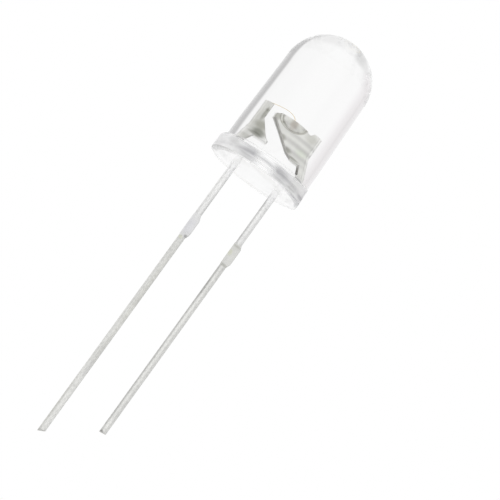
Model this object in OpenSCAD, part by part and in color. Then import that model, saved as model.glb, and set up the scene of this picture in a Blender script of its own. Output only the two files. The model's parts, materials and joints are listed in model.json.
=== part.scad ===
// Round through-hole LED with a water-clear lens.
// Frame: origin at the middle of the flange's seating face, +Z along the optical axis
// through the dome, leads down -Z, flange flat and cathode lead toward +X.
// All sizes are in millimetres.

/* [Lens] */
// Diameter of the lens barrel above the flange
lens_d = 5; // [4.2:0.1:6.2]
// Height from the seating face to the top of the dome
lens_h = 8.6; // [7.1:0.1:11]
// Height of the straight land above the flange, where a holder grips
land_h = 1; // [0.5:0.1:1.5]
// Mould draft of the barrel above the land, in degrees
draft = 1.5; // [0.5:0.1:2.5]

/* [Flange] */
// How far the flange stands out around the barrel
flange_rim = 0.25; // [0.15:0.01:0.5]
// Thickness of the flange
flange_t = 0.95; // [0.75:0.05:1.4]
// Radius that rounds the flange's upper edge, limited by the rim and the thickness
flange_round = 0.24; // [0.05:0.01:0.3]
// How far the flat that marks the cathode stands out from the barrel at its top
flat_proud = 0.02; // [0.01:0.01:0.1]
// Mould draft of the flat, in degrees
flat_draft = 3; // [0:0.5:5]

/* [Leads] */
// Distance between the two lead centre lines
lead_pitch = 2.54; // [2.1:0.02:3.1]
// Width of a lead, seen from the front
lead_w = 0.36; // [0.3:0.01:0.45]
// Thickness of the sheet that both frames are stamped from
sheet_t = 0.4; // [0.33:0.01:0.5]
// Length of the anode lead below the seating face
anode_len = 16.8; // [12:0.1:30]
// Length of the cathode lead below the seating face
cathode_len = 15.05; // [11:0.05:29]
// How much the cropping shear slants each lead's end
crop_slant = 0.06; // [0:0.01:0.15]

/* [Tie bar nubs] */
// Depth below the seating face of the middle of the sheared tie bar
nub_z = 3.94; // [2:0.01:6]
// Length of a nub along its lead
nub_h = 1.34; // [0.8:0.01:2]
// How far a nub stands out toward the cathode side
nub_out = 0.1; // [0.04:0.01:0.2]
// How far a nub stands out toward the anode side
nub_back = 0.02; // [0.01:0.01:0.1]
// Length of the ramp at each end of a nub
nub_ramp = 0.23; // [0.1:0.01:0.35]

/* [Anode post] */
// Distance from the lens axis to the post's outer edge
post_out = 1.24; // [1.16:0.01:1.34]
// Width of the post at its bonding face
post_w = 0.28; // [0.24:0.01:0.34]
// Height of the bonding face above the seating face
post_z = 3.5; // [3.2:0.05:4.2]
// Height at which the post starts to spread into its foot
post_knee = 2.6; // [2.4:0.05:2.8]
// Reach of the foot's toe toward the lens axis, as its distance from the axis
toe_x = 0.37; // [0.3:0.01:0.45]
// Height of the toe's end face
toe_h = 0.18; // [0.1:0.01:0.25]
// Height of the foot's underside above the seating face
foot_z = 1.53; // [1.45:0.01:1.7]
// How far the anode's neck is cut in from the lead's inner edge
neck_cut = 0.04; // [0.02:0.01:0.07]

/* [Cathode anvil] */
// Distance from the lens axis to the anvil's outer edge
anvil_out = 1.05; // [0.98:0.01:1.12]
// Distance from the lens axis to the anvil's inner edge
anvil_in = 0.7; // [0.66:0.01:0.74]
// Height of the anvil's underside above the seating face
anvil_z = 1.58; // [1.5:0.01:1.75]
// Distance from the lens axis to the heel where the underside turns up toward the cup
heel_x = 0.45; // [0.38:0.01:0.5]
// Cut that trims the heel's corner, as its length along the slanted edge
heel_cut = 0.24; // [0.1:0.02:0.3]
// Height at which the slanted inner edge meets the upright one
shoulder_z = 2.91; // [2.8:0.01:3.1]
// Height at which the outer edge starts to spread into the lead
hip_z = 2.25; // [2:0.05:2.6]
// Height of the ear at the anvil's outer corner
ear_z = 3.44; // [3.42:0.01:4.2]
// Width of the ear
ear_w = 0.25; // [0.2:0.01:0.27]
// How far the cathode's neck leans in from the lead's inner edge
neck_lean = 0.19; // [0.1:0.01:0.24]

/* [Reflector cup] */
// Offset of the cup from the lens axis, toward the post
cup_shift = 0.01; // [0:0.01:0.04]
// Height of the cup's rim above the seating face
rim_z = 3.34; // [3.25:0.01:3.4]
// Outer radius of the rim
rim_r = 0.53; // [0.48:0.01:0.56]
// Height of the upright band below the rim
rim_lip = 0.05; // [0.03:0.01:0.1]
// Wall that coining leaves around the cup
cup_wall = 0.07; // [0.05:0.01:0.09]
// Depth of the cup
cup_depth = 0.36; // [0.25:0.01:0.38]
// Depth to which the outside of the cup bulges below its lip
bulge = 0.5; // [0.46:0.01:0.6]
// Bare floor left around the adhesive
floor_gap = 0.03; // [0.01:0.005:0.05]

/* [Die and bond] */
// Side of the square LED die
die_w = 0.26; // [0.2:0.01:0.3]
// Thickness of the die
die_t = 0.12; // [0.08:0.01:0.18]
// Thickness of the conductive adhesive under the die
glue_t = 0.025; // [0.015:0.005:0.04]
// Ledge of adhesive around the die's corners
glue_ledge = 0.012; // [0.005:0.001:0.02]
// Diameter of the bond wire
wire_d = 0.026; // [0.025:0.001:0.05]
// Radius of the ball that bonds the wire to the die
ball_r = 0.042; // [0.035:0.001:0.06]
// Rise of the wire loop's control points above the post's bonding face
loop_rise = 0.42; // [0.3:0.01:0.7]

/* [Hidden] */
$fn = 96;

// The dome's sphere is tangent to the draft cone, so its radius follows from the
// barrel, the draft and the overall height.
barrel_r = lens_d / 2;
flange_r = barrel_r + flange_rim;
land_top = flange_t + land_h;
dome_r = (barrel_r * cos(draft) - (lens_h - land_top) * sin(draft)) / (1 - sin(draft));
dome_z = lens_h - dome_r;
tangent_r = dome_r * cos(draft);
tangent_z = dome_z + dome_r * sin(draft);
round_r = min(flange_round, 0.96 * flange_rim, 0.3 * flange_t);

// Both leads stand the same way about the lens axis.
lead_x = lead_pitch / 2;
lead_in = lead_x - lead_w / 2;
lead_out = lead_x + lead_w / 2;
nub_top = nub_h / 2 - nub_z;
nub_end = -nub_h / 2 - nub_z;
nub_nick = nub_ramp / 3;

// The neck of each frame sits just above the flange and below the foot and the anvil.
neck_z = foot_z - 0.48;
neck_run = 0.25;
foot_run = 0.17;
toe_rise = 0.13;
toe_run = 0.15;
post_in = post_out - post_w;
post_x = -(post_out + post_in) / 2;
spread_z = post_knee - 0.5;

// The cup's floor takes the die, its adhesive and a bare ring around them.
cup_x = -cup_shift;
cup_floor = rim_z - cup_depth;
glue_r = die_w * sqrt(2) / 2 + glue_ledge;
glue_foot_r = glue_r + glue_t;
floor_r = glue_foot_r + floor_gap;
mouth_r = rim_r - cup_wall;
bulge_steps = 10;
notch_drop = 0.08;
notch_run = 0.06;
ear_run = 0.1;
bevel_drop = 0.13;
bevel_run = 0.08;
heel_slant = atan2(shoulder_z - anvil_z, heel_x + anvil_in);
glue_top = cup_floor + glue_t;
die_top = glue_top + die_t;

// The wire rises from its ball, loops over the rim and lies down along the post's
// bonding face. Each ring of the sweep is [x, z, heading, half height, half width].
wire_r = wire_d / 2;
wire_sides = 8;
wire_steps = 14;
ring_turn = 180 / wire_sides;
ball_top = die_top + 1.2 * ball_r;
stitch_run = 0.06;
stitch_half = wire_r / 3;
loop_z = post_z + loop_rise;
wire_from = [cup_x, ball_top];
wire_up = [cup_x, loop_z];
wire_down = [post_x + 4 * stitch_run, post_z + wire_r];
wire_to = [post_x + stitch_run, post_z + wire_r];

function mix(a, b, t) = a * (1 - t) + b * t;
function bezier(t) =
    mix(mix(mix(wire_from, wire_up, t), mix(wire_up, wire_down, t), t),
        mix(mix(wire_up, wire_down, t), mix(wire_down, wire_to, t), t), t);
function heading(t) =
    let (step = bezier(min(t + 0.01, 1)) - bezier(max(t - 0.01, 0)))
    atan2(step[1], step[0]);
function ring(x, z, turn, half_h, half_w) = [
    for (i = [0 : wire_sides - 1])
        let (a = ring_turn * (2 * i + 1),
             up = half_h * cos(a) / cos(ring_turn),
             side = half_w * sin(a) / cos(ring_turn))
        [x - up * sin(turn), side, z + up * cos(turn)]
];
wire_rings = concat(
    [ring(cup_x, die_top, 90, 0.8 * ball_r, 0.8 * ball_r)],
    [ring(cup_x, die_top + 0.3 * ball_r, 90, ball_r, ball_r)],
    [ring(cup_x, die_top + 0.7 * ball_r, 90, ball_r, ball_r)],
    [for (i = [0 : wire_steps])
        let (t = i / wire_steps, p = bezier(t))
        ring(p[0], p[1], i == 0 ? 90 : i == wire_steps ? 180 : heading(t), wire_r, wire_r)],
    [ring(post_x, post_z + stitch_half, 180, stitch_half, 1.6 * wire_r)],
    [ring(post_x - stitch_run, post_z + stitch_half / 2, 180, stitch_half / 2, 1.6 * wire_r)]
);

// Outline of one straight lead, up its side toward the anode: from the cropped end,
// past the nub, to the seating face.
function lead_up(x, len) = [
    [x, -len],
    [x, nub_end],
    [x - nub_back, nub_end + nub_nick],
    [x - nub_back, nub_top - nub_nick],
    [x, nub_top]
];
// The same lead's other side, from the seating face down to the cropped end.
function lead_down(x, len) = [
    [x, nub_top],
    [x + nub_out, nub_top - nub_ramp],
    [x + nub_out, nub_end + nub_ramp],
    [x, nub_end],
    [x, crop_slant - len]
];

// Sheet metal of the given outline, standing in the XZ plane.
module stamping(outline) {
    rotate([90, 0, 0])
        linear_extrude(sheet_t, center = true)
            polygon(outline);
}

// Barrel, dome and flange as one turned casting, before anything is cast into it.
module casting() {
    difference() {
        union() {
            rotate_extrude()
                polygon([
                    [0, 0],
                    [barrel_r, 0],
                    [barrel_r, land_top],
                    [tangent_r, tangent_z],
                    [0, tangent_z]
                ]);
            rotate_extrude()
                intersection() {
                    translate([0, dome_z])
                        circle(dome_r);
                    translate([0, tangent_z])
                        square([dome_r, dome_r]);
                }
            rotate_extrude() {
                square([flange_r - round_r, flange_t]);
                square([flange_r, flange_t - round_r]);
                translate([flange_r - round_r, flange_t - round_r])
                    circle(round_r);
            }
        }
        translate([barrel_r + flat_proud, -flange_r, flange_t])
            rotate([0, -flat_draft, 0])
                translate([0, 0, -flange_t - 1])
                    cube([flange_r, 2 * flange_r, flange_t + 1]);
    }
}

// Clear epoxy cast around the two frames, the die and the wire.
module lens() {
    color([0.93, 0.95, 0.95, 0.35])
        difference() {
            casting();
            cathode_frame();
            anode_frame();
            led_die();
            die_attach();
            bond_wire();
        }
}

// Anode lead, its neck, and the post that takes the bond wire on its top.
module anode_frame() {
    color([0.76, 0.75, 0.71])
        stamping(concat(
            lead_up(-lead_out, anode_len),
            [
                [-lead_out, neck_z - neck_run],
                [-post_out, spread_z],
                [-post_out, post_z],
                [-post_in, post_z],
                [-post_in, post_knee],
                [-toe_x - toe_run, foot_z + toe_h + toe_rise],
                [-toe_x, foot_z + toe_h],
                [-toe_x, foot_z],
                [-lead_in + foot_run, foot_z],
                [-lead_in - neck_cut, neck_z],
                [-lead_in, neck_z - neck_run]
            ],
            lead_down(-lead_in, anode_len)
        ));
}

// Cathode lead, its neck, and the anvil with the coined reflector cup.
module cathode_frame() {
    color([0.76, 0.75, 0.71])
        difference() {
            union() {
                stamping(concat(
                    lead_up(lead_in, cathode_len),
                    [
                        [lead_in, neck_z],
                        [lead_in - neck_lean, anvil_z],
                        [heel_x + heel_cut / 2, anvil_z],
                        [heel_x - heel_cut * cos(heel_slant), anvil_z + heel_cut * sin(heel_slant)],
                        [-anvil_in, shoulder_z],
                        [-anvil_in, rim_z - bevel_drop],
                        [-anvil_in + bevel_run, rim_z - notch_drop],
                        [cup_x - rim_r, rim_z],
                        [cup_x + rim_r, rim_z],
                        [cup_x + rim_r + notch_run, rim_z - notch_drop],
                        [anvil_out - ear_w - ear_run, rim_z - notch_drop],
                        [anvil_out - ear_w, ear_z],
                        [anvil_out, ear_z],
                        [anvil_out, hip_z],
                        [lead_out, neck_z]
                    ],
                    lead_down(lead_out, cathode_len)
                ));
                translate([cup_x, 0, 0])
                    cup_shell();
            }
            translate([cup_x, 0, 0])
                cup_bowl();
        }
}

// Outside of the cup: an upright lip above the bulge that coining pushed out of the sheet.
module cup_shell() {
    rotate_extrude()
        polygon(concat(
            [[0, rim_z]],
            [for (i = [0 : bulge_steps])
                let (a = 90 - 90 * i / bulge_steps)
                [rim_r * cos(a), rim_z - rim_lip - bulge * sin(a)]],
            [[rim_r, rim_z]]
        ));
}

// Inside of the cup: a flat floor and a flaring mirror wall.
module cup_bowl() {
    flare = (mouth_r - floor_r) / cup_depth;
    rotate_extrude()
        polygon([
            [0, cup_floor],
            [floor_r, cup_floor],
            [mouth_r + flare, rim_z + 1],
            [0, rim_z + 1]
        ]);
}

// LED die, a square chip in the middle of the cup.
module led_die() {
    color([0.55, 0.42, 0.36])
        translate([cup_x - die_w / 2, -die_w / 2, glue_top])
            cube([die_w, die_w, die_t]);
}

// Pad of conductive adhesive that holds the die to the cup's floor.
module die_attach() {
    color([0.6, 0.6, 0.58])
        translate([cup_x, 0, cup_floor])
            cylinder(h = glue_t, r1 = glue_foot_r, r2 = glue_r);
}

// Gold wire from the ball on the die to the flattened stitch on the post.
module bond_wire() {
    last = len(wire_rings) - 1;
    color([0.9, 0.72, 0.3])
        polyhedron(
            points = [for (r = wire_rings) each r],
            faces = concat(
                [[for (i = [0 : wire_sides - 1]) i]],
                [for (k = [0 : last - 1], i = [0 : wire_sides - 1])
                    let (a = k * wire_sides + i,
                         b = k * wire_sides + (i + 1) % wire_sides)
                    each [
                        [a, a + wire_sides, b],
                        [b, a + wire_sides, b + wire_sides]
                    ]],
                [[for (i = [wire_sides - 1 : -1 : 0]) last * wire_sides + i]]
            )
        );
}

lens();
cathode_frame();
anode_frame();
led_die();
die_attach();
bond_wire();
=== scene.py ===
import json
import math
import bmesh
import bpy
from bpy.props import FloatProperty, FloatVectorProperty, IntProperty, PointerProperty
from mathutils import Matrix, Vector


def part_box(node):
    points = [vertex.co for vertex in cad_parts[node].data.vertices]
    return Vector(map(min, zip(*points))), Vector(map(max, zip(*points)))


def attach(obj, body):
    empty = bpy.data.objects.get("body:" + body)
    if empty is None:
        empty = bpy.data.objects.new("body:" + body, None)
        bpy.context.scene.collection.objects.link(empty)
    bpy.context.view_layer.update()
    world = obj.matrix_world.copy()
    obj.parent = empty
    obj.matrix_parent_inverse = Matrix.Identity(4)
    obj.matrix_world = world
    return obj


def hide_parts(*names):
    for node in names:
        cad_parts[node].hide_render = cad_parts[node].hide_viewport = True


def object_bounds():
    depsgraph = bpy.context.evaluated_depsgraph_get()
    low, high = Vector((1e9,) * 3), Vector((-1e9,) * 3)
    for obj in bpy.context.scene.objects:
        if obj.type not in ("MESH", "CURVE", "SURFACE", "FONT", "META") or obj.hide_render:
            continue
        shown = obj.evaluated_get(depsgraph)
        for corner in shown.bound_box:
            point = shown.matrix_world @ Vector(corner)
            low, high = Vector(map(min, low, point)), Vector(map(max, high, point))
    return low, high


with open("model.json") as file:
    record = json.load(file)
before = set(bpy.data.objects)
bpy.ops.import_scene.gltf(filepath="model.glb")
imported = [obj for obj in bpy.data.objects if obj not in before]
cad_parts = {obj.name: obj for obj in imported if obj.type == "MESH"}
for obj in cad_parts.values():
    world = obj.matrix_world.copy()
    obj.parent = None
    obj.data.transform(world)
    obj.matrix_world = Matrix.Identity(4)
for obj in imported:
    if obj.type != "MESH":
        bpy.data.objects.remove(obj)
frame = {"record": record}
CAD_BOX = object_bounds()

bl_info = {
    "name": "Round through-hole LED",
    "version": (1, 0, 0),
    "blender": (4, 5, 0),
    "location": "View3D > Sidebar > LED",
    "description": "Builds a water-clear 5 mm LED round its packed construction model",
    "category": "Add Mesh",
}

MM = 0.001
LENS_LOW, LENS_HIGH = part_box("lens")
CATHODE_LOW, CATHODE_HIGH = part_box("cathode_frame")
ANODE_LOW, ANODE_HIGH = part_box("anode_frame")
DIE_LOW, DIE_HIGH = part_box("led_die")
GLUE_LOW, GLUE_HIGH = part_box("die_attach")
WIRE_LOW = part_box("bond_wire")[0]
MOUNTS = {mount["name"]: mount for mount in frame["record"]["mounts"]}
SEAT_Z = MOUNTS["seating_face"]["pos_m"][2]
CUP_X = (DIE_LOW.x + DIE_HIGH.x) / 2
# Finishes of a lead frame, in the order of its material slots
PLATED, SHEARED, MIRROR = range(3)


def linear(hex_colour):
    """Turns an sRGB hex colour such as "c8c6c0" into linear RGBA."""
    channels = [int(hex_colour[i:i + 2], 16) / 255 for i in (0, 2, 4)]
    low = [c / 12.92 if c <= 0.04045 else ((c + 0.055) / 1.055) ** 2.4 for c in channels]
    return (*low, 1.0)


# ---------------------------------------------------------------- sizes

def length(name, description, size):
    """A length property whose default is size millimetres."""
    return FloatProperty(name=name, description=description, default=size * MM,
                         unit="LENGTH", precision=5)


def angle(name, description, degrees):
    """An angle property whose default is in degrees."""
    return FloatProperty(name=name, description=description,
                         default=math.radians(degrees), subtype="ANGLE")


def colour(name, description, hex_colour):
    """A colour property whose default is an sRGB hex colour."""
    return FloatVectorProperty(name=name, description=description, subtype="COLOR",
                               size=4, min=0, max=1, default=linear(hex_colour))


class LedLensSizes(bpy.types.PropertyGroup):
    barrel_r: length(
        "Barrel radius", "Radius of the straight land above the flange",
        MOUNTS["lens_barrel"]["dims"]["r_mm"])
    land_length: length(
        "Land", "Length of the straight land", MOUNTS["lens_barrel"]["dims"]["length_mm"])
    draft: angle("Draft", "Mould draft of the barrel above the land", 1.5)
    flange_t: length("Flange thickness", "Height of the flange's wall", 0.95)
    flange_round: length("Flange rounding", "Radius of the flange's upper edge", 0.24)
    flat_proud: length("Flat", "How far the flat's top stands out from the barrel", 0.02)
    flat_draft: angle("Flat draft", "Mould draft of the flat that marks the cathode", 3)
    parting_z: length("Parting line", "Height of the step where the mould's parts met", 0.42)
    parting_step: length("Parting step", "How far the wall stands back above the line", 0.012)
    # The tide line is a painted grey shade line round the flange's wall
    shade_line_z: length("Tide line", "Height of the grey line round the flange's wall", 0.49)
    root_fillet: length("Root fillet", "Fillet between the flange and the barrel", 0.012)
    lip_round: length("Lower lip", "Radius of the flange's lower edge", 0.05)
    dish: length("Dish", "Depth to which the epoxy shrank in the underside", 0.05)
    rim_w: length("Rim", "Width of the flat rim round the dish", 0.35)
    segments: IntProperty(
        name="Segments", description="Steps round the lens", default=384, min=48)


class LedFrameSizes(bpy.types.PropertyGroup):
    pitch: length("Lead pitch", "Distance between the two leads' centre lines", 2.54)
    lead_w: length("Lead width", "Width of a lead, seen from the front", 0.36)
    roll: length("Die roll", "Rounding of a lead's front edges, where the punch entered", 0.06)
    pad_roll: length("Wide die roll", "Rounding of the front edges above the neck", 0.13)
    gap_roll: length("Sheared edge", "Rounding of the front edges on the gap's side", 0.1)
    neck_roll: length("Torn neck", "Rounding of the cathode neck's inner edge", 0.13)
    burr: length("Back edge", "Rounding of the back edges", 0.02)
    anode_slant: length("Anode crop", "Slant of the anode lead's cropped end", 0.18)
    cathode_slant: length("Cathode crop", "Slant of the cathode lead's cropped end", 0.05)
    nub_z: length("Nub height", "Middle of the sheared tie bar below the seat", 3.94)
    nub_h: length("Nub length", "Length of a nub along its lead", 1.34)
    nub_out: length("Nub, wide side", "How far a nub stands out to the cathode side", 0.1)
    nub_back: length("Nub, narrow side", "How far a nub stands out to the anode side", 0.02)
    nub_ramp: length("Nub ramp", "Length of the ramp at each end of a nub", 0.23)
    neck_z: length("Neck", "Height at which a lead has become its neck", 1.05)
    neck_run: length("Neck run", "Height over which a lead turns into its neck", 0.25)


class LedPostSizes(bpy.types.PropertyGroup):
    outer: length("Outer edge", "From the lens axis to the post's outer edge", 1.24)
    width: length("Width", "Width of the post at its bonding face", 0.28)
    knee_z: length("Knee", "Height at which the post starts to spread to its foot", 2.6)
    spread_drop: length("Spread", "Depth below the knee at which the outside spreads", 0.5)
    toe_h: length("Toe height", "Height of the toe's end face", 0.18)
    toe_rise: length("Toe rise", "Height of the bend behind the toe", 0.13)
    toe_run: length("Toe run", "Length of the bend behind the toe", 0.15)
    foot_z: length("Foot", "Height of the foot's underside", 1.53)
    foot_run: length("Foot run", "Length of the bend from the neck to the foot", 0.17)
    neck_cut: length("Neck cut", "Cut into the neck from the lead's inner edge", 0.04)


class LedAnvilSizes(bpy.types.PropertyGroup):
    outer: length("Outer edge", "From the lens axis to the anvil's outer edge", 1.05)
    foot_z: length("Underside", "Height of the anvil's underside", 1.58)
    heel_x: length("Heel", "Where the underside turns up toward the cup", 0.45)
    heel_cut: length("Heel cut", "Cut that trims the heel's corner", 0.24)
    shoulder_z: length("Shoulder", "Height at which the slanted inner edge ends", 2.91)
    bevel_drop: length("Bevel drop", "Depth of the corner bevel beside the cup", 0.13)
    bevel_run: length("Bevel run", "Width of the corner bevel beside the cup", 0.08)
    hip_z: length("Hip", "Height at which the outer edge starts to spread", 2.25)
    notch_drop: length("Notch", "Depth of the notch below the cup's rim", 0.08)
    notch_run: length("Notch run", "Width of the notch's side by the cup", 0.06)
    ear_w: length("Ear width", "Width of the ear at the outer corner", 0.25)
    ear_run: length("Ear run", "Width of the ear's slanted side", 0.1)
    neck_lean: length("Neck lean", "How far the neck leans in from the lead", 0.19)


class LedCupSizes(bpy.types.PropertyGroup):
    rim_z: length("Rim height", "Height of the cup's rim", 3.34)
    rim_r: length("Rim radius", "Outer radius of the rim", 0.53)
    rim_lip: length("Lip", "Height of the upright band below the rim", 0.05)
    rim_round: length("Rim rounding", "Radius of the rim's outer edge", 0.012)
    wall: length("Wall", "Wall that coining leaves round the cup", 0.07)
    bulge: length("Bulge", "Depth to which the outside bulges below its lip", 0.5)
    floor_gap: length("Bare floor", "Bare floor left round the adhesive", 0.03)


class LedDieSizes(bpy.types.PropertyGroup):
    corner: length("Die corner", "Rounding of the die's upright corners", 0.004)
    saw_share: FloatProperty(
        name="Saw depth", description="Share of the die's height up to the mesa's step",
        default=0.78, min=0.1, max=0.95, subtype="FACTOR")
    mesa_step: length("Mesa step", "Width of the step round the die's top", 0.01)
    mesa_lean: length("Mesa lean", "How far each etched edge of the mesa leans in", 0.003)
    pad_r: length("Bond pad", "Radius of the gold pad under the ball", 0.05)
    pad_t: length("Pad thickness", "Thickness of the gold pad and its arms", 0.002)
    arm_w: length("Arm width", "Width of the pad's four current-spreading arms", 0.01)
    arm_end: length("Arm length", "From the pad's middle to the end of an arm", 0.1)


class LedWireSizes(bpy.types.PropertyGroup):
    wire_r: length("Wire radius", "Radius of the bond wire", 0.013)
    ball_r: length("Ball radius", "Radius of the ball on the die", 0.042)
    loop_rise: length("Loop", "Rise of the loop's control points above the post", 0.42)
    stitch_run: length("Stitch", "Length of each half of the flattened stitch", 0.06)
    sides: IntProperty(name="Sides", description="Sides of the wire", default=16, min=8)
    steps: IntProperty(name="Steps", description="Rings along the loop", default=48, min=8)


class LedColours(bpy.types.PropertyGroup):
    epoxy: colour("Epoxy", "Tint of the clear casting", "fbfbfb")
    # Colour of the painted grey shade line round the flange's wall
    shade_line: colour("Tide line", "Grey of the line round the flange's wall", "9c9c9f")
    mesa: colour("Mesa", "Colour of the layers on the die that give the light", "7a4f42")
    floor: colour("Floor", "Colour of the floor's paper", "fafaf9")


class LedStageSettings(bpy.types.PropertyGroup):
    elevation: angle("Elevation", "Camera's height above the horizon", -9.5)
    lean: angle("Lean", "Turn of the optical axis from the picture's upright", 35.75)
    distance: length("Distance", "From the camera to the point it looks at", 150)
    focal: FloatProperty(
        name="Focal length", description="Focal length of the lens", default=213.8,
        unit="CAMERA")
    look_x: length("Look X", "Where the camera looks, across the object", 1.91)
    look_z: length("Look Z", "Where the camera looks, along the object", -3.16)
    floor_drop: length("Floor drop", "Depth of the floor below the longer lead", 23)
    floor_half: length("Floor", "Half the width of the floor", 2000)
    # The near shade is painted shade in the floor, seen only by metal and clear epoxy
    shade_near: length("Near shade", "Distance within which the near shade is full", 62)
    shade_far: length("Far shade", "Distance at which the near shade ends", 120)


SETTINGS = {
    "led_lens": LedLensSizes,
    "led_frame": LedFrameSizes,
    "led_post": LedPostSizes,
    "led_anvil": LedAnvilSizes,
    "led_cup": LedCupSizes,
    "led_die": LedDieSizes,
    "led_wire": LedWireSizes,
    "led_colours": LedColours,
    "led_stage": LedStageSettings,
}


# ---------------------------------------------------------------- meshes

def arc(centre, radius, start, end, steps):
    """Points of a circular arc in the (r, z) or (x, z) plane, both ends included."""
    return [
        (centre[0] + radius * math.cos(start + (end - start) * i / steps),
         centre[1] + radius * math.sin(start + (end - start) * i / steps))
        for i in range(steps + 1)
    ]


def line(start, end, steps):
    """Points from start to end, without the end itself."""
    return [
        (start[0] + (end[0] - start[0]) * i / steps, start[1] + (end[1] - start[1]) * i / steps)
        for i in range(steps)
    ]


def lathe(profile, segments, centre_x=0.0, finish=PLATED):
    """A closed solid of revolution round the vertical through centre_x.

    profile runs from the axis at the bottom to the axis at the top.
    """
    mesh = bmesh.new()
    rings = []
    for r, z in profile:
        if r < 1e-9:
            rings.append([mesh.verts.new((centre_x, 0, z))] * segments)
            continue
        rings.append([
            mesh.verts.new((
                centre_x + r * math.cos(2 * math.pi * i / segments),
                r * math.sin(2 * math.pi * i / segments), z))
            for i in range(segments)
        ])
    for low, high in zip(rings, rings[1:]):
        for i in range(segments):
            j = (i + 1) % segments
            corners = [low[i], low[j], high[j], high[i]]
            unique = [v for k, v in enumerate(corners) if v not in corners[:k]]
            if len(unique) > 2:
                mesh.faces.new(unique).material_index = finish
    return mesh


def skin(rings):
    """A closed solid through rings of points, which all run the same way round."""
    mesh = bmesh.new()
    loops = [[mesh.verts.new(point) for point in ring] for ring in rings]
    count = len(loops[0])
    for low, high in zip(loops, loops[1:]):
        for i in range(count):
            j = (i + 1) % count
            mesh.faces.new((low[i], low[j], high[j], high[i]))
    mesh.faces.new(list(reversed(loops[0])))
    mesh.faces.new(loops[-1])
    return mesh


def border(points, roll, finish=PLATED):
    """Corners of an outline, with the roll and finish of the edge that leaves each one."""
    return [(x, z, roll, finish) for x, z in points]


def rolled_in(outline, share):
    """The outline with each edge moved inward by a share of its own roll.

    The outline runs clockwise in XZ. Where two edges are nearly in line, the corner
    moves by the mean of the two.
    """
    moved = []
    for i, (x, z, roll, _) in enumerate(outline):
        before, here, after = (
            Vector(outline[k % len(outline)][:2]) for k in (i - 1, i, i + 1))
        a, b = (here - before).normalized(), (after - here).normalized()
        inward_a, inward_b = Vector((a.y, -a.x)), Vector((b.y, -b.x))
        step_a, step_b = outline[i - 1][2] * share, roll * share
        cross = inward_a.x * inward_b.y - inward_a.y * inward_b.x
        if abs(cross) < 0.1:
            moved.append(here + (inward_a * step_a + inward_b * step_b) / 2)
            continue
        moved.append(here + Vector((
            (step_a * inward_b.y - step_b * inward_a.y) / cross,
            (step_b * inward_a.x - step_a * inward_b.x) / cross)))
    return moved


def stamping(outline, low_y, high_y, burr, roll_steps=6):
    """Sheet metal of that outline between two Y planes.

    Its front edges are rolled over and its back edges barely broken.
    """
    mesh = bmesh.new()
    rings = []
    for i in range(roll_steps + 1):
        a = math.pi / 2 * i / roll_steps
        depths = [
            (outline[k - 1][2] + outline[k][2]) / 2 * (1 - math.cos(a))
            for k in range(len(outline))
        ]
        rings.append([
            mesh.verts.new((p.x, low_y + depth, p.y))
            for p, depth in zip(rolled_in(outline, 1 - math.sin(a)), depths)
        ])
    broken = [(x, z, burr, finish) for x, z, _, finish in outline]
    for i in range(3):
        a = math.pi / 4 * i
        rings.append([
            mesh.verts.new((p.x, high_y - burr * (1 - math.sin(a)), p.y))
            for p in rolled_in(broken, 1 - math.cos(a))
        ])
    mesh.faces.new(rings[0])
    for front, back in zip(rings, rings[1:]):
        for i, (_, _, _, finish) in enumerate(outline):
            j = (i + 1) % len(outline)
            face = mesh.faces.new((front[i], back[i], back[j], front[j]))
            face.material_index = finish
    mesh.faces.new(list(reversed(rings[-1])))
    return mesh


def boolean(mesh, tool, operation):
    """mesh with tool joined to it or cut from it, both worked in millimetres."""
    objects = []
    for part in (mesh, tool):
        part.normal_update()
        bmesh.ops.recalc_face_normals(part, faces=part.faces)
        bmesh.ops.scale(part, vec=(1 / MM,) * 3, verts=part.verts)
        data = bpy.data.meshes.new("work")
        part.to_mesh(data)
        part.free()
        for _ in (PLATED, SHEARED, MIRROR):
            data.materials.append(None)
        objects.append(bpy.data.objects.new("work", data))
        bpy.context.scene.collection.objects.link(objects[-1])
    base, cutter = objects
    modifier = base.modifiers.new("join", "BOOLEAN")
    modifier.operation = operation
    modifier.solver = "EXACT"
    modifier.object = cutter
    bpy.context.view_layer.update()
    depsgraph = bpy.context.evaluated_depsgraph_get()
    result = bmesh.new()
    result.from_mesh(base.evaluated_get(depsgraph).to_mesh())
    bmesh.ops.scale(result, vec=(MM,) * 3, verts=result.verts)
    for part in objects:
        data = part.data
        bpy.data.objects.remove(part)
        bpy.data.meshes.remove(data)
    return result


def piece(name, mesh, materials, slot, *nodes, sharp=30):
    """Makes a mesh into a finished piece that stands for the given CAD nodes, if any."""
    bmesh.ops.recalc_face_normals(mesh, faces=mesh.faces)
    data = bpy.data.meshes.new(name)
    mesh.to_mesh(data)
    mesh.free()
    for face in data.polygons:
        face.use_smooth = True
    data.set_sharp_from_angle(angle=math.radians(sharp))
    for material in materials:
        data.materials.append(material)
    made = bpy.data.objects.new(name, data)
    bpy.context.scene.collection.objects.link(made)
    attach(made, "root")
    if nodes:
        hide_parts(*nodes)


# ---------------------------------------------------------------- materials

def node(tree, kind, links=None, **settings):
    """Adds a node with its settings, and sets or links each input named in links."""
    made = tree.nodes.new(kind)
    for key, value in settings.items():
        setattr(made, key, value)
    for key, value in (links or {}).items():
        socket = made.inputs[key]
        if isinstance(value, bpy.types.NodeSocket):
            tree.links.new(value, socket)
        else:
            socket.default_value = value
    return made


def per_mm(size):
    """Texture scale at which one cell is size millimetres wide, in object coordinates."""
    return 1 / (size * MM)


def new_material(name):
    """A bare material, its node tree, and the object coordinates that its patterns use."""
    material = bpy.data.materials.new(name)
    material.use_nodes = True
    tree = material.node_tree
    tree.nodes.clear()
    return material, tree, node(tree, "ShaderNodeTexCoord").outputs["Object"]


def surfaced(tree, inputs):
    """Ends a material in a principled shader with those inputs."""
    shader = node(tree, "ShaderNodeBsdfPrincipled", inputs)
    node(tree, "ShaderNodeOutputMaterial", {"Surface": shader.outputs["BSDF"]})


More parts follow.
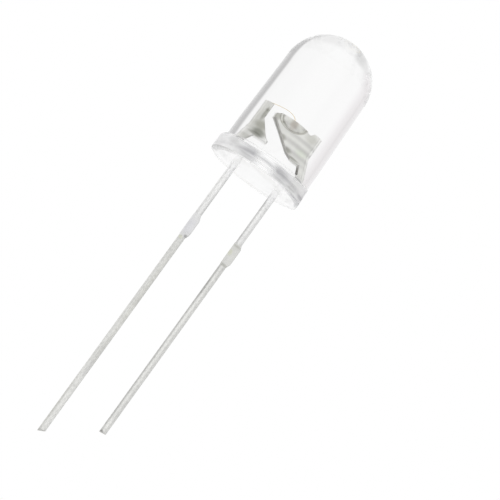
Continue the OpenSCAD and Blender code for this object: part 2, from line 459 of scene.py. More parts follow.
def graded(tree, value, unit, stops):
    """Colour that changes with a value, from rising stops of position and sRGB colour."""
    low, high = stops[0][0], stops[-1][0]
    share = node(tree, "ShaderNodeMapRange", {
        "Value": value, "From Min": low * unit, "From Max": high * unit})
    ramp = node(tree, "ShaderNodeValToRGB", {"Fac": share.outputs["Result"]})
    elements = ramp.color_ramp.elements
    while len(elements) < len(stops):
        elements.new(0.5)
    for element, (position, hex_colour) in zip(elements, stops):
        element.position = (position - low) / (high - low)
        element.color = linear(hex_colour)
    return ramp.outputs["Color"]


def grained(tree, place, cell, detail=2.0):
    """Noise between 0 and 1 whose cells have the given size along X, Y and Z, in mm."""
    stretch = node(tree, "ShaderNodeMapping", {
        "Vector": place, "Scale": tuple(per_mm(size) for size in cell)})
    return node(tree, "ShaderNodeTexNoise", {
        "Vector": stretch.outputs["Vector"], "Scale": 1.0, "Detail": detail}).outputs["Fac"]


def speckled(tree, place, cell, dark, pale, detail=2.0):
    """Noise of that cell size, and a colour that goes from dark to pale with it."""
    grain = grained(tree, place, cell, detail)
    tone = node(tree, "ShaderNodeMix", {
        "Factor": grain, "A": linear(dark), "B": linear(pale)}, data_type="RGBA")
    return grain, tone.outputs["Result"]


def patch(tree, place, x, z, reach_x, reach_z, hollow=0.0):
    """Fades from 1 round (x, z) to 0 at the reach along X and Z, all in mm.

    With a hollow, a share of the reach, it is a ring that is clear again inside that.
    """
    full = hollow or 0.3
    moved = node(tree, "ShaderNodeVectorMath", {
        0: place, 1: (x * MM, 0, z * MM)}, operation="SUBTRACT")
    scaled = node(tree, "ShaderNodeVectorMath", {
        0: moved.outputs["Vector"], 1: (per_mm(reach_x), 0, per_mm(reach_z))},
        operation="MULTIPLY")
    away = node(tree, "ShaderNodeVectorMath", {
        0: scaled.outputs["Vector"]}, operation="LENGTH").outputs["Value"]
    disc = node(tree, "ShaderNodeMapRange", {
        "Value": away, "From Min": 1.0, "From Max": full},
        interpolation_type="SMOOTHSTEP").outputs["Result"]
    if not hollow:
        return disc
    hole = node(tree, "ShaderNodeMapRange", {
        "Value": away, "From Min": 2 * hollow - 1, "From Max": hollow},
        interpolation_type="SMOOTHSTEP").outputs["Result"]
    return node(tree, "ShaderNodeMath", {
        0: disc, 1: hole}, operation="MULTIPLY").outputs["Value"]


def patch_shaded(tree, place, base, shade_patches):
    """base darkened by painted shade: each entry is a patch and the colour at its middle."""
    for where, hex_colour in shade_patches:
        base = node(tree, "ShaderNodeMix", {
            "Factor": patch(tree, place, *where), "A": base, "B": linear(hex_colour)},
            data_type="RGBA", blend_type="MULTIPLY").outputs["Result"]
    return base


def clear_epoxy(sizes, colours):
    """Water-clear epoxy cast in a polished mould.

    The barrel and dome are glass-clear and slightly wavy. The mould's ring left the
    flange's wall satin, and a streaked grey of painted shade is in its colour, darkest
    along a painted shade line. The underside is the open face of the pour: hazy inside a
    satin rim with painted grey shade toward the sides, and white against the light.
    """
    material, tree, place = new_material("cast_clear_epoxy")
    axes = node(tree, "ShaderNodeSeparateXYZ", {"Vector": place}).outputs
    level = node(tree, "ShaderNodeVectorMath", {0: place, 1: (1, 1, 0)}, operation="MULTIPLY")
    radius = node(tree, "ShaderNodeVectorMath", {
        0: level.outputs["Vector"]}, operation="LENGTH").outputs["Value"]
    wall_r = -LENS_LOW.x
    dish_r = wall_r - sizes.rim_w
    dish_z = SEAT_Z + sizes.dish
    # Each fade below is 0 at its From Min and 1 at its From Max, unless it says otherwise.
    # The first ones tell the middle of the front from its sides, and left from right
    aside = node(tree, "ShaderNodeMath", {
        0: axes["X"]}, operation="ABSOLUTE").outputs["Value"]
    sides = node(tree, "ShaderNodeMapRange", {
        "Value": aside, "From Min": 0.1 * MM, "From Max": 0.8 * MM},
        interpolation_type="SMOOTHSTEP").outputs["Result"]
    far_aside = node(tree, "ShaderNodeMapRange", {
        "Value": aside, "From Min": 1.1 * MM, "From Max": 2.0 * MM}).outputs["Result"]
    rightward = node(tree, "ShaderNodeMapRange", {
        "Value": axes["X"], "From Min": -1.0 * MM, "From Max": 1.0 * MM}).outputs["Result"]
    at_end = node(tree, "ShaderNodeMapRange", {
        "Value": rightward, "To Min": 0.24, "To Max": 0.34}).outputs["Result"]
    middle = node(tree, "ShaderNodeMapRange", {
        "Value": aside, "From Min": 1.9 * MM, "From Max": 1.0 * MM, "To Min": at_end},
        interpolation_type="SMOOTHSTEP").outputs["Result"]
    # The polished upper edge reaches a little down the wall, less toward the sides
    below_edge = node(tree, "ShaderNodeMapRange", {
        "Value": axes["Z"], "From Min": sizes.flange_t - 0.17 * MM,
        "From Max": sizes.flange_t - sizes.flange_round,
        "To Min": far_aside}).outputs["Result"]
    on_wall = node(tree, "ShaderNodeMapRange", {
        "Value": radius, "From Min": wall_r - 0.06 * MM, "From Max": wall_r - 0.02 * MM,
        "To Max": below_edge}).outputs["Result"]
    # The painted shade line sags toward the sides, by 0.04 mm for each square millimetre of X
    sag = node(tree, "ShaderNodeMath", {
        0: axes["X"], 1: axes["X"]}, operation="MULTIPLY").outputs["Value"]
    height = node(tree, "ShaderNodeMath", {
        0: sag, 1: 0.04 / MM, 2: axes["Z"]}, operation="MULTIPLY_ADD").outputs["Value"]
    from_line = node(tree, "ShaderNodeMath", {
        0: height, 1: sizes.shade_line_z}, operation="SUBTRACT").outputs["Value"]
    off_line = node(tree, "ShaderNodeMath", {
        0: from_line}, operation="ABSOLUTE").outputs["Value"]
    # Painted shade: grey streaks for the satin wall's colour; the same noise also bumps the wall
    streaks, streak_shade = speckled(tree, place, (1.1, 1.1, 0.12), "a2a2a3", "e6e6e7", detail=4.0)
    wander = node(tree, "ShaderNodeMapRange", {
        "Value": streaks, "From Min": 0.35, "From Max": 0.65,
        "To Max": 0.03 * MM}).outputs["Result"]
    loose = node(tree, "ShaderNodeMath", {
        0: off_line, 1: wander}, operation="ADD").outputs["Value"]
    reach = node(tree, "ShaderNodeMapRange", {
        "Value": sides, "To Min": 0.17 * MM, "To Max": 0.2 * MM}).outputs["Result"]
    shade_line = node(tree, "ShaderNodeMapRange", {
        "Value": loose, "From Min": reach, "From Max": 0.04 * MM}).outputs["Result"]
    shade_line_share = node(tree, "ShaderNodeMath", {
        0: shade_line, 1: middle}, operation="MULTIPLY").outputs["Value"]
    # Painted grey shade in the wall's colour, which pales at its foot in the middle of the front
    wall_shade_share = node(tree, "ShaderNodeMapRange", {
        "Value": patch(tree, place, *WALL_FAINT_SHADE_SPOT),
        "To Min": middle, "To Max": 0.3}).outputs["Result"]
    wall_shaded_tone = node(tree, "ShaderNodeMix", {
        "Factor": wall_shade_share, "A": linear("ffffff"), "B": streak_shade},
        data_type="RGBA").outputs["Result"]
    lined = node(tree, "ShaderNodeMix", {
        "Factor": shade_line_share, "A": wall_shaded_tone, "B": colours.shade_line},
        data_type="RGBA").outputs["Result"]
    low = node(tree, "ShaderNodeMapRange", {
        "Value": axes["Z"], "From Min": SEAT_Z + 0.07 * MM,
        "From Max": SEAT_Z + 0.01 * MM}).outputs["Result"]
    foot = node(tree, "ShaderNodeMapRange", {
        "Value": far_aside, "To Min": low, "To Max": 0.0}).outputs["Result"]
    footed = node(tree, "ShaderNodeMix", {
        "Factor": foot, "A": patch_shaded(tree, place, lined, WALL_SHADE_PATCHES),
        "B": linear("fcfcfc")}, data_type="RGBA").outputs["Result"]
    # The satin and its painted grey shade cover the wall's front, except a clear window in the
    # middle that only the painted shade line crosses
    faint_shade_line = node(tree, "ShaderNodeMath", {
        0: shade_line_share, 1: 0.7}, operation="MULTIPLY").outputs["Value"]
    spread = node(tree, "ShaderNodeMath", {
        0: sides, 1: faint_shade_line}, operation="MAXIMUM").outputs["Value"]
    front = node(tree, "ShaderNodeMapRange", {
        "Value": axes["Y"], "From Min": 0.6 * MM, "From Max": -0.4 * MM,
        "To Min": 0.02}).outputs["Result"]
    rubbed_wall = node(tree, "ShaderNodeMath", {
        0: on_wall, 1: front}, operation="MULTIPLY").outputs["Value"]
    wall = node(tree, "ShaderNodeMath", {
        0: rubbed_wall, 1: spread}, operation="MULTIPLY").outputs["Value"]
    body = node(tree, "ShaderNodeMix", {
        "Factor": wall, "A": colours.epoxy, "B": footed},
        data_type="RGBA").outputs["Result"]
    # The rim round the dish is as satin as the wall, and carries a painted grey shade toward the
    # sides
    off_wall = node(tree, "ShaderNodeMapRange", {
        "Value": on_wall, "To Min": 1.0, "To Max": far_aside}).outputs["Result"]
    under = node(tree, "ShaderNodeMapRange", {
        "Value": axes["Z"], "From Min": dish_z + 0.04 * MM, "From Max": dish_z,
        "To Max": off_wall}).outputs["Result"]
    outside_dish = node(tree, "ShaderNodeMapRange", {
        "Value": radius, "From Min": dish_r - 0.07 * MM, "From Max": dish_r + 0.03 * MM,
        "To Max": far_aside}).outputs["Result"]
    rim = node(tree, "ShaderNodeMapRange", {
        "Value": axes["Y"], "From Min": 0.5 * MM, "From Max": -0.1 * MM,
        "To Max": outside_dish}).outputs["Result"]
    rim_shade = node(tree, "ShaderNodeMix", {
        "Factor": rightward, "A": linear("d0d0d0"), "B": linear("c6c6c8")},
        data_type="RGBA").outputs["Result"]
    under_tone = node(tree, "ShaderNodeMix", {
        "Factor": rim, "A": linear("ffffff"), "B": rim_shade},
        data_type="RGBA").outputs["Result"]
    tone = node(tree, "ShaderNodeMix", {
        "Factor": under, "A": body, "B": under_tone}, data_type="RGBA").outputs["Result"]
    # Share of the light that goes through, and how matt each face is
    left_clear = node(tree, "ShaderNodeMapRange", {
        "Value": axes["X"], "From Min": -1.9 * MM, "From Max": -1.2 * MM,
        "To Min": 0.33, "To Max": 0.55}).outputs["Result"]
    wall_clear = node(tree, "ShaderNodeMapRange", {
        "Value": wall, "To Min": 1.0, "To Max": left_clear}).outputs["Result"]
    # The haze shows from outside; light inside the casting leaves through it
    inside = node(tree, "ShaderNodeNewGeometry").outputs["Backfacing"]
    hazed = node(tree, "ShaderNodeMapRange", {
        "Value": inside, "To Min": 0.3, "To Max": 1.0}).outputs["Result"]
    under_clear = node(tree, "ShaderNodeMapRange", {
        "Value": under, "To Min": 1.0, "To Max": hazed}).outputs["Result"]
    clear = node(tree, "ShaderNodeMath", {
        0: wall_clear, 1: under_clear}, operation="MINIMUM").outputs["Value"]
    satin = node(tree, "ShaderNodeMapRange", {
        "Value": sides, "To Min": 0.08, "To Max": 0.3}).outputs["Result"]
    wall_rough = node(tree, "ShaderNodeMath", {
        0: on_wall, 1: satin}, operation="MULTIPLY").outputs["Value"]
    under_rough = node(tree, "ShaderNodeMath", {
        0: under, 1: 0.06}, operation="MULTIPLY").outputs["Value"]
    rough = node(tree, "ShaderNodeMath", {
        0: wall_rough, 1: under_rough}, operation="MAXIMUM").outputs["Value"]
    flow = grained(tree, place, (2.5, 2.5, 2.5), detail=1.0)
    wavy = node(tree, "ShaderNodeBump", {
        "Height": flow, "Strength": 0.05, "Distance": 0.02 * MM})
    rubbed = node(tree, "ShaderNodeBump", {
        "Height": streaks, "Strength": wall, "Distance": 0.03 * MM,
        "Normal": wavy.outputs["Normal"]})
    surfaced(tree, {
        "Base Color": tone, "Roughness": rough, "IOR": 1.53, "Transmission Weight": clear,
        "Normal": rubbed.outputs["Normal"]})
    return material


def plated_steel(name, frames, lead_x, tones_and_shading, cross_shading, cross_shading_share, shade_patches):
    """Steel sheet, silver plated above the seat and hot tinned below it.

    The silver is a pale satin with soft clouds, and ripples across the anvil's rolled
    face whose light and dark bands are painted into the colour. Painted reflections and
    shade by height and across each lead, and patches of painted shade, are in the colour
    too. The tin is finely mottled and lined along the lead, and plain where the tie bar
    was sheared off.
    """
    material, tree, place = new_material(name)
    axes = node(tree, "ShaderNodeSeparateXYZ", {"Vector": place}).outputs
    across = node(tree, "ShaderNodeMath", {
        0: axes["X"], 1: lead_x}, operation="SUBTRACT").outputs["Value"]
    # Painted shade across the lead, over the colour by height with its painted reflections and
    # shade
    cross_shaded = node(tree, "ShaderNodeMix", {
        "Factor": graded(tree, axes["Z"], MM, cross_shading_share),
        "A": graded(tree, axes["Z"], MM, tones_and_shading),
        "B": graded(tree, across, frames.lead_w, cross_shading)},
        data_type="RGBA", blend_type="MULTIPLY").outputs["Result"]
    clouds = node(tree, "ShaderNodeMapRange", {
        "Value": grained(tree, place, (0.4, 0.4, 0.5), detail=3.0),
        "From Min": 0.3, "From Max": 0.7, "To Min": 0.93, "To Max": 1.04}).outputs["Result"]
    # The ripples are 0.377 mm apart. A wave texture runs through one cycle every pi / 10 of
    # its scaled coordinate
    waves = node(tree, "ShaderNodeTexWave", {
        "Vector": place, "Scale": math.pi / 10 * per_mm(0.377), "Distortion": 2.2,
        "Detail": 2.0, "Detail Scale": 0.3, "Phase Offset": 4.3},
        bands_direction="Z").outputs["Fac"]
    # They show on the anvil's flat face, between its underside and the cup
    face = 1.0
    for axis, bare, full in (("Z", 1.6 * MM, 1.9 * MM), ("Z", 3.0 * MM, 2.8 * MM),
                             ("Y", ANODE_LOW.y - 0.03 * MM, ANODE_LOW.y),
                             ("X", -0.4 * MM, 0.3 * MM)):
        inside = node(tree, "ShaderNodeMapRange", {
            "Value": axes[axis], "From Min": bare, "From Max": full}).outputs["Result"]
        face = node(tree, "ShaderNodeMath", {
            0: face, 1: inside}, operation="MULTIPLY").outputs["Value"]
    # Painted shade and highlight: the ripples' light and dark bands are painted into the colour,
    # as well as bumped
    ripple_shade = node(tree, "ShaderNodeMapRange", {
        "Value": waves, "To Min": 0.82, "To Max": 1.08}).outputs["Result"]
    ripple_shading = node(tree, "ShaderNodeMix", {
        "Factor": face, "A": 1.0, "B": ripple_shade}, data_type="FLOAT").outputs["Result"]
    # The tin's mottle starts below the seat and fades on the nub. Its grain and the lines
    # are finer in truth, and are drawn as coarse as they need to show
    below_seat = node(tree, "ShaderNodeMapRange", {
        "Value": axes["Z"], "From Min": 0.0, "From Max": -0.3 * MM}).outputs["Result"]
    from_nub = node(tree, "ShaderNodeMath", {
        0: axes["Z"], 1: frames.nub_z}, operation="ADD").outputs["Value"]
    off_middle = node(tree, "ShaderNodeMath", {
        0: from_nub}, operation="ABSOLUTE").outputs["Value"]
    nub_end = frames.nub_h / 2
    on_wire = node(tree, "ShaderNodeMapRange", {
        "Value": off_middle, "From Min": nub_end - 0.12 * MM, "From Max": nub_end + 0.03 * MM,
        "To Min": 0.15, "To Max": below_seat}).outputs["Result"]
    on_lead = node(tree, "ShaderNodeMath", {
        0: on_wire, 1: below_seat}, operation="MINIMUM").outputs["Value"]
    mottled = node(tree, "ShaderNodeMapRange", {
        "Value": grained(tree, place, (0.05, 0.05, 0.14), detail=3.0),
        "From Min": 0.35, "From Max": 0.65, "To Min": 0.86, "To Max": 1.10}).outputs["Result"]
    mottle = node(tree, "ShaderNodeMix", {
        "Factor": on_lead, "A": 1.0, "B": mottled}, data_type="FLOAT").outputs["Result"]
    clouds_and_ripple_shade = node(tree, "ShaderNodeMath", {
        0: clouds, 1: ripple_shading}, operation="MULTIPLY").outputs["Value"]
    shade = node(tree, "ShaderNodeMath", {
        0: clouds_and_ripple_shade, 1: mottle}, operation="MULTIPLY").outputs["Value"]
    tone = node(tree, "ShaderNodeVectorMath", {
        0: cross_shaded, "Scale": shade}, operation="SCALE").outputs["Vector"]
    lines = node(tree, "ShaderNodeBump", {
        "Height": grained(tree, place, (0.05, 0.05, 1.2)), "Strength": 0.3,
        "Distance": 0.01 * MM})
    ripple = node(tree, "ShaderNodeBump", {
        "Height": waves, "Strength": face, "Distance": 0.01 * MM,
        "Normal": lines.outputs["Normal"]})
    # Patches of painted shade and reflections darken the colour
    surfaced(tree, {
        "Base Color": patch_shaded(tree, place, tone, shade_patches), "Metallic": 1.0, "Roughness": 0.3,
        "Normal": ripple.outputs["Normal"]})
    return material


def sheared_steel(shade_patches):
    """The stamped edge: torn, uneven and thinly plated, so darker and duller than the face."""
    material, tree, place = new_material("sheared_edge")
    torn, tone = speckled(tree, place, (0.12, 0.3, 0.12), "a4a4a0", "dedcd8", detail=4.0)
    ragged = node(tree, "ShaderNodeBump", {
        "Height": torn, "Strength": 0.6, "Distance": 0.03 * MM})
    # Patches of painted shade darken the edge's colour
    surfaced(tree, {
        "Base Color": patch_shaded(tree, place, tone, shade_patches), "Metallic": 1.0, "Roughness": 0.45,
        "Normal": ragged.outputs["Normal"]})
    return material


def coined_silver():
    """Bright silver ironed smooth by the coining punch: a mirror with faint rings of draw."""
    material, tree, place = new_material("coined_silver")
    rings, tone = speckled(tree, place, (0.5, 0.5, 0.03), "e9e7e1", "f6f5f1")
    drawn = node(tree, "ShaderNodeBump", {
        "Height": rings, "Strength": 0.15, "Distance": 0.005 * MM})
    surfaced(tree, {
        "Base Color": tone, "Metallic": 1.0, "Roughness": 0.12,
        "Normal": drawn.outputs["Normal"]})
    return material


def die_chip(sizes, colours):
    """Gallium arsenide chip: a sawn, matt lower part under a smooth red-brown mesa.

    The saw's marks are drawn several times as coarse as real ones, so that they show.
    """
    material, tree, place = new_material("sawn_semiconductor")
    axes = node(tree, "ShaderNodeSeparateXYZ", {"Vector": place}).outputs
    saw, sawn = speckled(tree, place, (0.2, 0.2, 0.012), "4a4644", "6a6460")
    height = DIE_HIGH.z - DIE_LOW.z
    step_z = DIE_LOW.z + sizes.saw_share * height
    mesa = node(tree, "ShaderNodeMapRange", {
        "Value": axes["Z"], "From Min": step_z - 0.04 * height,
        "From Max": step_z}).outputs["Result"]
    tone = node(tree, "ShaderNodeMix", {
        "Factor": mesa, "A": sawn, "B": colours.mesa}, data_type="RGBA").outputs["Result"]
    rough = node(tree, "ShaderNodeMapRange", {
        "Value": mesa, "To Min": 0.55, "To Max": 0.25}).outputs["Result"]
    lines = node(tree, "ShaderNodeBump", {
        "Height": saw, "Strength": 0.4, "Distance": 0.003 * MM})
    surfaced(tree, {
        "Base Color": tone, "Roughness": rough, "Normal": lines.outputs["Normal"]})
    return material


def silver_paste():
    """Cured silver-filled epoxy: dull grey and sparkling faintly where flakes show."""
    material, tree, place = new_material("silver_filled_epoxy")
    flakes, tone = speckled(tree, place, (0.006, 0.006, 0.006), "85837e", "bcbab4", detail=3.0)
    shine = node(tree, "ShaderNodeMapRange", {
        "Value": flakes, "From Min": 0.4, "From Max": 0.6, "To Max": 0.7}).outputs["Result"]
    lumpy = node(tree, "ShaderNodeBump", {
        "Height": flakes, "Strength": 0.4, "Distance": 0.003 * MM})
    surfaced(tree, {
        "Base Color": tone, "Metallic": shine, "Roughness": 0.45,
        "Normal": lumpy.outputs["Normal"]})
    return material


def gold(name, roughness):
    """Pure gold, soft and bright yellow, with the faint lines of its drawing die.

    The lines are drawn several times as coarse as real ones, so that they show.
    """
    material, tree, place = new_material(name)
    drawn, tone = speckled(tree, place, (0.15, 0.006, 0.15), "f6dfae", "fff0cc")
    lines = node(tree, "ShaderNodeBump", {
        "Height": drawn, "Strength": 0.2, "Distance": 0.001 * MM})
    surfaced(tree, {
        "Base Color": tone, "Metallic": 1.0, "Roughness": roughness,
        "Normal": lines.outputs["Normal"]})
    return material


# ---------------------------------------------------------------- stage

# Colours of the tent by compass angle from the back, in degrees to the right, and the painted
# shade that the floor shows close to the object
TENT_FLAGS = (
    (-180, "f6f6f6"), (-150, "f6f6f6"), (-135, "ffffff"), (-90, "ffffff"), (-75, "e8e5e6"),
    (-60, "e8e5e6"), (-50, "f3f0f1"), (-40, "f9f7f8"), (-30, "ffffff"), (-15, "fdfdfd"),
    (-8, "ffffff"), (8, "ffffff"), (22, "fcfcfc"), (47, "fcfcfc"), (53, "b6b6b6"),
    (76, "b0b0b0"), (90, "f3f3f3"), (110, "f3f3f3"), (130, "ffffff"), (150, "f6f6f6"),
    (180, "f6f6f6"),
)
PAINTED_NEAR_SHADE = (
    (-180, "f6f6f6"), (-48, "f4f4f4"), (-38, "e4e4e4"), (-24, "dadada"), (-17, "dadada"),
    (-10, "fafafa"), (3, "fafafa"), (11, "f2f2f2"), (30, "ececec"), (38, "f0f0f0"),
    (50, "d0d0d0"), (70, "f6f6f6"), (180, "f6f6f6"),
)


class LED_OT_stage(bpy.types.Operator):
    """Camera, floor and a white light tent"""
    bl_idname = "led.stage"
    bl_label = "Stage"

    def execute(self, context):
        stage = context.scene.led_stage
        self.camera(context, stage)
        self.floor(context, stage)
        self.surround(context)
        context.scene.view_settings.view_transform = "Standard"
        # Light crosses many faces of clear epoxy, and a low limit would turn it black
        context.scene.cycles.max_bounces = 24
        context.scene.cycles.glossy_bounces = 16
        context.scene.cycles.transmission_bounces = 16
        return {"FINISHED"}

    def camera(self, context, stage):
        """A long lens that looks slightly up at the object, turned about its own axis."""
        e, lean = stage.elevation, stage.lean
        forward = Vector((0, math.cos(e), -math.sin(e)))
        level = Vector((1, 0, 0))
        upright = Vector((0, math.sin(e), math.cos(e)))
        right = upright * math.sin(lean) + level * math.cos(lean)
        up = upright * math.cos(lean) - level * math.sin(lean)
        target = Vector((stage.look_x, 0, stage.look_z))
        data = bpy.data.cameras.new("camera")
        data.lens = stage.focal
        data.sensor_width = 36
        data.clip_start = 10 * MM
        data.clip_end = 10
        camera = bpy.data.objects.new("camera", data)
        turn = Matrix((right, up, -forward)).transposed().to_4x4()
        camera.matrix_world = Matrix.Translation(target - forward * stage.distance) @ turn
        context.scene.collection.objects.link(camera)
        context.scene.camera = camera

    def floor(self, context, stage):
        """White paper to the camera, and part of the glowing tent to everything else.

        Close to the object, metal and clear epoxy see a painted shade in it.
        """
        mesh = bmesh.new()
        bmesh.ops.create_grid(mesh, x_segments=1, y_segments=1, size=stage.floor_half)
        data = bpy.data.meshes.new("floor")
        mesh.to_mesh(data)
        mesh.free()
        floor = bpy.data.objects.new("floor", data)
        floor.location.z = CAD_BOX[0].z - stage.floor_drop
        material, tree, place = new_material("floor_paper")
        paper = node(tree, "ShaderNodeBsdfDiffuse", {
            "Color": context.scene.led_colours.floor})
        away = node(tree, "ShaderNodeVectorMath", {0: place}, operation="LENGTH")
        near = node(tree, "ShaderNodeMapRange", {
            "Value": away.outputs["Value"], "From Min": stage.shade_far,
            "From Max": stage.shade_near})
        # Painted shade: close to the object the floor's glow darkens to the near shades
        shown = node(tree, "ShaderNodeMix", {
            "Factor": near.outputs["Result"], "A": self.flagged(tree, place, TENT_FLAGS),
            "B": self.flagged(tree, place, PAINTED_NEAR_SHADE)}, data_type="RGBA")
        path = node(tree, "ShaderNodeLightPath").outputs
        # Painted light: to diffuse rays the paper glows 1.3 times as bright as the tent, lighting
        # the object from below
        level = node(tree, "ShaderNodeMapRange", {
            "Value": path["Is Diffuse Ray"], "To Min": 1.0, "To Max": 1.3})
        white = node(tree, "ShaderNodeEmission", {
            "Color": shown.outputs["Result"], "Strength": level.outputs["Result"]})
        shader = node(tree, "ShaderNodeMixShader", {
            0: path["Is Camera Ray"], 1: white.outputs["Emission"],
            2: paper.outputs["BSDF"]})
        node(tree, "ShaderNodeOutputMaterial", {"Surface": shader.outputs["Shader"]})
        data.materials.append(material)
        context.scene.collection.objects.link(floor)

    def surround(self, context):
        """A white light tent, with grey flags that only glass and metal show."""
        world = bpy.data.worlds.new("light_tent")
        world.use_nodes = True
        tree = world.node_tree
        tree.nodes.clear()
        way = node(tree, "ShaderNodeTexCoord").outputs["Generated"]
        path = node(tree, "ShaderNodeLightPath").outputs
        mirrored = node(tree, "ShaderNodeMath", {
            0: path["Is Glossy Ray"], 1: path["Is Transmission Ray"]}, operation="MAXIMUM")
        shown = node(tree, "ShaderNodeMix", {
            "Factor": mirrored.outputs["Value"], "A": (1, 1, 1, 1),
            "B": self.flagged(tree, way, TENT_FLAGS)}, data_type="RGBA")
        light = node(tree, "ShaderNodeBackground", {
            "Color": shown.outputs["Result"], "Strength": 1.0})
        node(tree, "ShaderNodeOutputWorld", {"Surface": light.outputs["Background"]})
        context.scene.world = world

    def flagged(self, tree, way, flags):
        """Colours that change with the compass angle of a way out from the object."""
        axes = node(tree, "ShaderNodeSeparateXYZ", {"Vector": way})
        turn = node(tree, "ShaderNodeMath", {
            0: axes.outputs["X"], 1: axes.outputs["Y"]}, operation="ARCTAN2")
        return graded(tree, turn.outputs["Value"], math.radians(1), flags)


# ---------------------------------------------------------------- pieces

# Painted shade on the flange's wall, in the same form as the painted shade of the lead frames
WALL_SHADE_PATCHES = (
    ((-1.10, 0.27, 0.50, 0.09), "e2e2e2"),
    ((-1.15, 0.16, 0.60, 0.16), "f9f9f9"),
    ((1.15, 0.18, 0.62, 0.24), "eeeeee"),
    ((1.75, 0.20, 0.40, 0.07), "dedede"),
    ((-1.95, 0.60, 0.40, 0.26), "e4e4e4"),
    ((2.40, 0.25, 0.25, 0.14), "dcdcde"),
)
# Where the wall's painted grey shade is fainter, in the same form
WALL_FAINT_SHADE_SPOT = (-0.95, 0.33, 0.50, 0.08)


class LED_OT_lens(bpy.types.Operator):
    """Clear epoxy casting: flange with its flat, barrel and dome"""
    bl_idname = "led.lens"
    bl_label = "Lens"

    def execute(self, context):
        sizes = context.scene.led_lens
        casting = lathe(self.profile(sizes), sizes.segments)
        mesh = boolean(casting, self.flat(sizes), "DIFFERENCE")
        epoxy = clear_epoxy(sizes, context.scene.led_colours)
        piece("lens", mesh, [epoxy], "clear_epoxy", "lens", sharp=12)
        return {"FINISHED"}

    def flat(self, sizes):
        """The block outside the drafted flat, up to the top of the root fillet."""
        top = sizes.flange_t + sizes.root_fillet
        bottom = SEAT_Z - sizes.flange_t
        slope = math.tan(sizes.flat_draft)
        face_x = sizes.barrel_r + sizes.flat_proud
        far = 2 * sizes.barrel_r
        levels = [(face_x + (sizes.flange_t - z) * slope, z) for z in (bottom, top)]
        return skin([
            [(near, -far, z), (far, -far, z), (far, far, z), (near, far, z)]
            for near, z in levels
        ])

    def profile(self, sizes):
        """Half section from the middle of the underside to the top of the dome."""
        barrel = sizes.barrel_r
        flange = -LENS_LOW.x
        top = LENS_HIGH.z
        land = sizes.flange_t + sizes.land_length
        tilt = math.sin(sizes.draft)
        dome = (barrel * math.cos(sizes.draft) - (top - land) * tilt) / (1 - tilt)
        tangent = (dome * math.cos(sizes.draft), top - dome + dome * tilt)
        lip, edge, root = sizes.lip_round, sizes.flange_round, sizes.root_fillet
        upper = flange - sizes.parting_step
        step_z = sizes.parting_z
        dish_r = flange - sizes.rim_w
        dish = [
            (dish_r * i / 12, SEAT_Z + sizes.dish * (1 - (i / 12) ** 2)) for i in range(12)
        ]
        return (
            dish
            + line((dish_r, SEAT_Z), (flange - lip, SEAT_Z), 3)
            + arc((flange - lip, SEAT_Z + lip), lip, -math.pi / 2, 0, 6)
            + line((flange, SEAT_Z + 2 * lip), (flange, step_z - sizes.parting_step), 5)
            + arc((flange - sizes.parting_step, step_z - sizes.parting_step),
                  sizes.parting_step, 0, math.pi / 2, 5)
            + line((upper, step_z + sizes.parting_step), (upper, sizes.flange_t - edge), 5)
            + arc((upper - edge, sizes.flange_t - edge), edge, 0, math.pi / 2, 12)
            + arc((barrel + root, sizes.flange_t + root), root, -math.pi / 2, -math.pi, 6)
            + line((barrel, sizes.flange_t + 2 * root), (barrel, land), 6)
            + line((barrel, land), tangent, 24)
            + arc((0, top - dome), dome, sizes.draft, math.pi / 2, 48)[:-1]
            + [(0, top)]
        )


# Colour of the plating by height, in mm above the seat, with painted reflections and shade: near
# white where the leads meet the flange, lighter and darker bands on the post and anvil
ANODE_TONES_AND_SHADING = (
    (-17.0, "dededb"), (-16.2, "ebebe8"), (-14.0, "ebebe8"), (-9.0, "e6e6e3"),
    (-4.75, "e4e4e1"), (-4.55, "e6e6e6"), (-3.45, "e9e9e9"), (-3.1, "f4f4f3"),
    (-1.0, "fafaf9"), (-0.6, "ffffff"), (0.1, "ffffff"), (0.4, "e8e8e6"), (1.4, "e6e6e2"),
    (1.5, "f8f8f6"), (1.72, "f6f6f4"), (1.84, "e6e6e2"), (2.6, "e8e8e4"), (3.5, "e9e9e5"),
)
CATHODE_TONES_AND_SHADING = (
    (-15.2, "e0e0dd"), (-14.6, "f2f2ef"), (-9.0, "f2f2ef"), (-4.8, "eeeeeb"),
    (-4.6, "e2e2df"), (-3.4, "e0e0dc"), (-3.2, "fafaf9"), (-1.0, "fdfdfc"),
    (-0.6, "ffffff"), (0.1, "ffffff"), (0.4, "e8e8e6"), (1.2, "e6e6e2"), (1.45, "f0f0ec"),
    (1.65, "eaeae6"), (1.8, "e2e2de"), (2.05, "eeeeea"), (2.6, "e8e8e4"), (3.1, "f0f0ec"),
    (3.5, "f4f4f0"),
)
# Painted shade and highlight across a lead, in widths from its centre line: lighter in the
# middle, darker toward the rolled edges
ANODE_CROSS_SHADING = (
    (-0.5, "f1f1f1"), (-0.3, "efefef"), (-0.12, "ffffff"), (0.15, "ffffff"),
    (0.32, "e9e9e9"), (0.5, "eaeaea"),
)
CATHODE_CROSS_SHADING = (
    (-0.5, "dadada"), (-0.36, "d2d2d2"), (-0.22, "f4f4f4"), (-0.14, "ffffff"),
    (0.02, "fcfcfc"), (0.18, "ebebeb"), (0.35, "e6e6e6"), (0.5, "eeeeee"),
)
# Share of that painted shade by height, white for all of it: the nubs are matt and even
ANODE_CROSS_SHADING_SHARE = (
    (-17.0, "c0c0c0"), (-14.0, "b4b4b4"), (-4.75, "b4b4b4"), (-4.5, "404040"),
    (-3.5, "404040"), (-3.2, "ffffff"), (-0.3, "ffffff"), (0.0, "000000"),
)
CATHODE_CROSS_SHADING_SHARE = (
    (-15.1, "a0a0a0"), (-14.7, "ffffff"), (-4.75, "ffffff"), (-4.6, "303030"),
    (-3.4, "303030"), (-3.2, "ffffff"), (-1.0, "ffffff"), (-0.4, "808080"), (0.0, "000000"),
)
